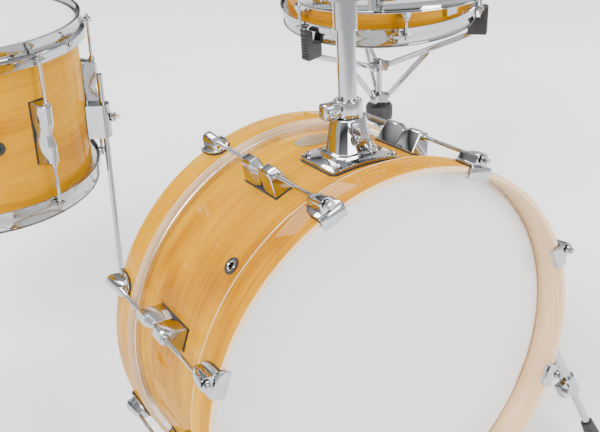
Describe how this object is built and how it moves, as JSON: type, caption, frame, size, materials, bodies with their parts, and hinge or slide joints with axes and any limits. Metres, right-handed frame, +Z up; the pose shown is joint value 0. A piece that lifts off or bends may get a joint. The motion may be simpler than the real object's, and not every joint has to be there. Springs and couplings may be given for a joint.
{
  "type": "acoustic drum kit",
  "caption": "Compact acoustic drum kit: lacquered bass drum on folding spurs, rack tom on a ball arm, floor tom on legs and snare drum on a tripod stand.",
  "frame": {"origin": "on the floor under the middle of the kit's bounding box", "axes": "+Z up, the bass drum's front faces -Y, the snare drum stands on the +X side and the floor tom on the -X side"},
  "size_m": [1.2441, 1.0109, 0.8065],
  "materials": {
    "lacquered_birch": "clear gloss lacquer over honey-stained birch",
    "chrome": "polished",
    "black_rubber": "matte",
    "smooth_white_film": "smooth satin",
    "coated_white_film": "fine sprayed coating",
    "badge_brass": "satin",
    "steel_wire": "bright"
  },
  "bodies": {
    "bass_drum": {"bass_drum_shell": "lacquered_birch", "bass_front_hoop": "lacquered_birch", "bass_back_hoop": "lacquered_birch", "bass_front_head": "smooth_white_film", "bass_back_head": "coated_white_film", "bass_claws": "chrome", "bass_claw_liners": "black_rubber", "bass_lugs": "chrome", "bass_shell_gaskets": "black_rubber", "bass_tension_rods": "chrome", "bass_vent_grommet": "chrome", "shell_badge": "badge_brass", "tom_base": "chrome", "tom_base_screws": "chrome", "spur_brackets": "chrome"},
    "left_spur": {"left_spur_tube": "chrome"},
    "left_spur_leg": {"left_spur_rod": "chrome", "left_spur_foot": "black_rubber"},
    "right_spur": {"right_spur_tube": "chrome"},
    "right_spur_leg": {"right_spur_rod": "chrome", "right_spur_foot": "black_rubber"},
    "post": {"tom_post": "chrome", "post_memory_collar": "chrome"},
    "base_wing": {"base_wing_bolt": "chrome"},
    "holder": {"tom_holder_clamp": "chrome"},
    "holder_wing": {"holder_wing_bolt": "chrome"},
    "arm": {"tom_arm": "chrome"},
    "rack_tom": {"rack_tom_shell": "lacquered_birch", "rack_tom_heads": "coated_white_film", "rack_tom_hoops": "chrome", "rack_tom_lugs": "chrome", "rack_tom_tension_rods": "chrome", "rack_tom_bracket": "chrome"},
    "floor_tom_legs": {"floor_tom_legs": "chrome", "floor_tom_leg_feet": "black_rubber"},
    "floor_tom": {"floor_tom_shell": "lacquered_birch", "floor_tom_heads": "coated_white_film", "floor_tom_hoops": "chrome", "floor_tom_lugs": "chrome", "floor_tom_gaskets": "black_rubber", "floor_tom_tension_rods": "chrome", "floor_tom_leg_brackets": "chrome", "floor_tom_wing_bolts": "chrome"},
    "stand": {"stand_tube": "chrome"},
    "stand_leg_front": {"stand_leg_front": "chrome"},
    "stand_leg_left": {"stand_leg_left": "chrome"},
    "stand_leg_right": {"stand_leg_right": "chrome"},
    "stand_height": {"stand_height_tube": "chrome"},
    "basket": {"basket_stem": "chrome", "basket_arms": "chrome", "basket_grips": "black_rubber"},
    "nut": {"basket_nut": "black_rubber"},
    "snare_drum": {"snare_drum_shell": "lacquered_birch", "snare_heads": "coated_white_film", "snare_hoops": "chrome", "snare_lugs": "chrome", "snare_tension_rods": "chrome", "snare_strainer": "chrome", "snare_wires": "steel_wire"},
    "throw_lever": {"snare_throw_lever": "chrome"}
  },
  "joints": [
    {"name": "left_spur_fold", "type": "hinge", "parent": "bass_drum", "child": "left_spur", "pos_m": [-0.3814, -0.38938, 0.24893], "axis": [1, 0, 0], "range_deg": [0, 80]},
    {"name": "left_spur_extend", "type": "slide", "parent": "left_spur", "child": "left_spur_leg", "axis": [-0.3209, -0.3559, -0.8777], "range_m": [-0.02, 0.05]},
    {"name": "right_spur_fold", "type": "hinge", "parent": "bass_drum", "child": "right_spur", "pos_m": [0.1966, -0.38938, 0.24893], "axis": [1, 0, 0], "range_deg": [0, 80]},
    {"name": "right_spur_extend", "type": "slide", "parent": "right_spur", "child": "right_spur_leg", "axis": [0.3209, -0.3559, -0.8777], "range_m": [-0.02, 0.05]},
    {"name": "post_height", "type": "slide", "parent": "bass_drum", "child": "post", "axis": [0, 0.1132, 0.9936], "range_m": [0, 0.1]},
    {"name": "base_wing_turn", "type": "hinge", "parent": "bass_drum", "child": "base_wing", "pos_m": [-0.0924, -0.33059, 0.56531], "axis": [0, -0.9936, 0.1132], "range_deg": [0, 180]},
    {"name": "holder_swivel", "type": "hinge", "parent": "post", "child": "holder", "pos_m": [-0.0924, -0.29132, 0.72086], "axis": [0, 0.1132, 0.9936], "range_deg": [-30, 30]},
    {"name": "holder_wing_turn", "type": "hinge", "parent": "holder", "child": "holder_wing", "pos_m": [-0.1092, -0.30456, 0.74854], "axis": [-0.7179, -0.6916, 0.0788], "range_deg": [0, 180]},
    {"name": "arm_tilt", "type": "hinge", "parent": "holder", "child": "arm", "pos_m": [-0.0924, -0.28929, 0.73875], "axis": [-0.6961, 0.7133, -0.0813], "range_deg": [-12, 12]},
    {"name": "rack_tom_height", "type": "slide", "parent": "arm", "child": "rack_tom", "axis": [0, 0.1132, 0.9936], "range_m": [-0.025, 0]},
    {"name": "floor_tom_lift", "type": "slide", "parent": "bass_drum", "child": "floor_tom_legs", "axis": [0, 0, 1], "range_m": [0, 0.08]},
    {"name": "floor_tom_height", "type": "slide", "parent": "floor_tom_legs", "child": "floor_tom", "axis": [0, 0, 1], "range_m": [-0.04, 0.04]},
    {"name": "stand_lift", "type": "slide", "parent": "bass_drum", "child": "stand", "axis": [0, 0, 1], "range_m": [0, 0.08]},
    {"name": "stand_leg_front_fold", "type": "hinge", "parent": "stand", "child": "stand_leg_front", "pos_m": [0.39951, 0.25484, 0.155], "axis": [-0.2419, 0.9703, 0], "range_deg": [0, 48]},
    {"name": "stand_leg_left_fold", "type": "hinge", "parent": "stand", "child": "stand_leg_left", "pos_m": [0.36621, 0.26439, 0.155], "axis": [-0.7193, -0.6947, 0], "range_deg": [0, 48]},
    {"name": "stand_leg_right_fold", "type": "hinge", "parent": "stand", "child": "stand_leg_right", "pos_m": [0.37459, 0.23078, 0.155], "axis": [0.9613, -0.2756, 0], "range_deg": [0, 48]},
    {"name": "stand_height_slide", "type": "slide", "parent": "stand", "child": "stand_height", "axis": [0, 0, 1], "range_m": [-0.02, 0.06]},
    {"name": "basket_tilt", "type": "hinge", "parent": "stand_height", "child": "basket", "pos_m": [0.3801, 0.25, 0.262], "axis": [0, 1, 0], "range_deg": [-6, 10]},
    {"name": "basket_nut_turn", "type": "hinge", "parent": "basket", "child": "nut", "pos_m": [0.37745, 0.25, 0.29991], "axis": [-0.0698, 0, 0.9976], "range_deg": [-180, 180]},
    {"name": "snare_drum_lift", "type": "slide", "parent": "basket", "child": "snare_drum", "axis": [-0.0698, 0, 0.9976], "range_m": [0, 0.06]},
    {"name": "throw_lever_turn", "type": "hinge", "parent": "snare_drum", "child": "throw_lever", "pos_m": [0.33285, 0.43766, 0.55963], "axis": [-0.9879, -0.1392, -0.0691], "range_deg": [0, 95]}
  ],
  "couplings": [
    {"joint": "stand_leg_left_fold", "follows": "stand_leg_front_fold", "ratio": 1},
    {"joint": "stand_leg_right_fold", "follows": "stand_leg_front_fold", "ratio": 1}
  ]
}
